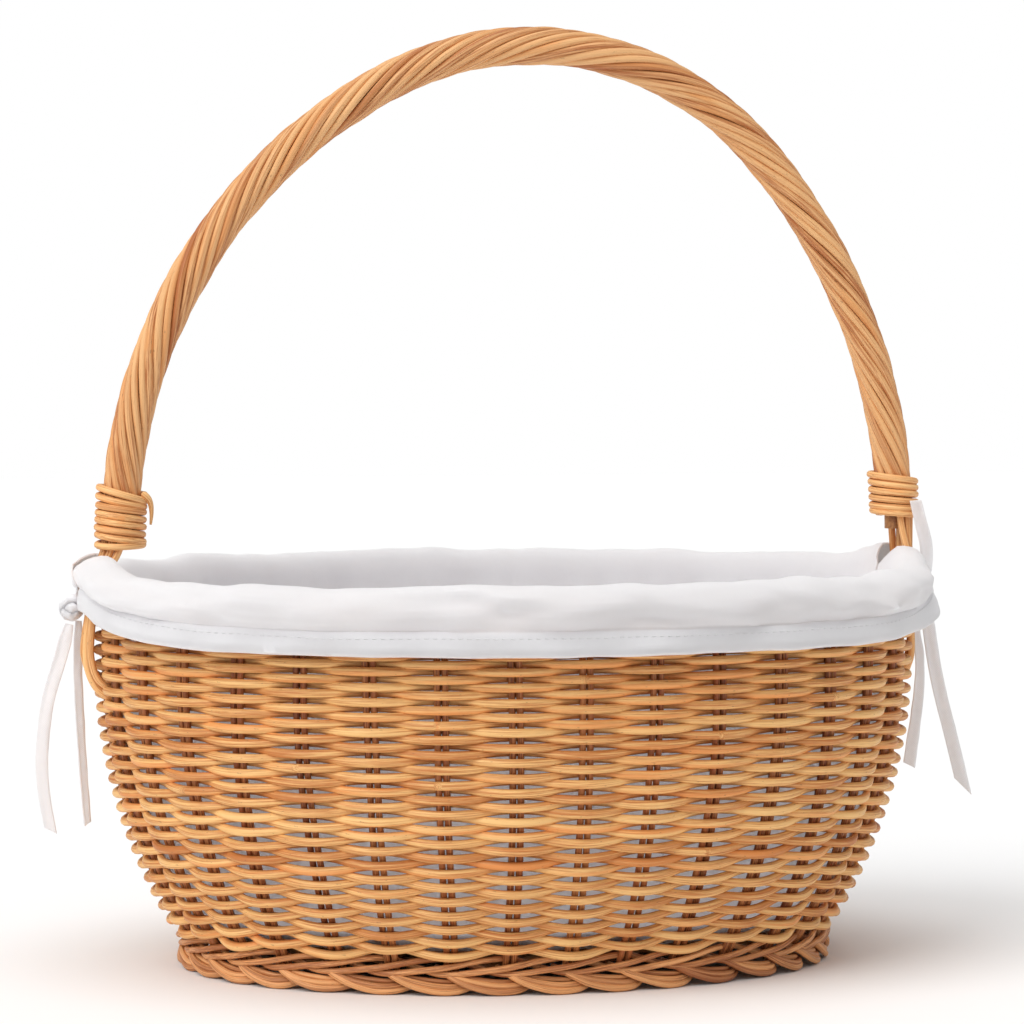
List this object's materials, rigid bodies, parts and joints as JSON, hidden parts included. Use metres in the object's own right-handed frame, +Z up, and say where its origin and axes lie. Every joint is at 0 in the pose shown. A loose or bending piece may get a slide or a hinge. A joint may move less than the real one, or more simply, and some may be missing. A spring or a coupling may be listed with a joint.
{
  "type": "wicker basket",
  "caption": "Oval wicker carrying basket with a roped hoop handle and a turned-over cotton liner tied at both ends.",
  "frame": {"origin": "on the surface the basket stands on, under the middle of the box round the basket without its tie tapes", "axes": "+X along the basket from the left foot of the handle to the right one, +Y across it towards the back, +Z up"},
  "size_m": [0.4304, 0.318, 0.4198],
  "materials": {
    "willow_weave": "satin",
    "willow_stake": "satin",
    "willow_foot": "satin",
    "willow_handle": "satin",
    "cotton_cloth": "matt",
    "cotton_hem": "matt",
    "tie_tape": "matt"
  },
  "bodies": {
    "root": {"base_sticks_long": "willow_stake", "base_sticks_short": "willow_stake", "base_weave": "willow_weave", "cuff_hem_back": "cotton_hem", "cuff_hem_front": "cotton_hem", "foot_border": "willow_foot", "handle_binding_left": "willow_handle", "handle_binding_right": "willow_handle", "handle_core": "willow_handle", "handle_leg_left_back": "willow_handle", "handle_leg_left_front": "willow_handle", "handle_leg_right_back": "willow_handle", "handle_leg_right_front": "willow_handle", "handle_strands": "willow_handle", "liner_cuff_back": "cotton_cloth", "liner_cuff_front": "cotton_cloth", "liner_floor": "cotton_cloth", "liner_wall": "cotton_cloth", "rim_border": "willow_weave", "side_stakes_back": "willow_stake", "side_stakes_front": "willow_stake", "side_stakes_left": "willow_stake", "side_stakes_right": "willow_stake", "side_weave_band_1": "willow_weave", "side_weave_band_2": "willow_weave", "side_weave_band_3": "willow_weave", "side_weave_band_4": "willow_weave", "side_weave_band_5": "willow_weave", "side_weave_band_6": "willow_weave", "side_weave_band_7": "willow_weave", "side_weave_band_8": "willow_weave", "tie_knot_left": "tie_tape", "tie_knot_right": "tie_tape", "tie_tail_left_narrow": "tie_tape", "tie_tail_left_wide": "tie_tape", "tie_tail_right_inner": "tie_tape", "tie_tail_right_outer": "tie_tape", "tie_tail_right_up": "tie_tape", "waling_row_1": "willow_weave"}
  },
  "joints": []
}
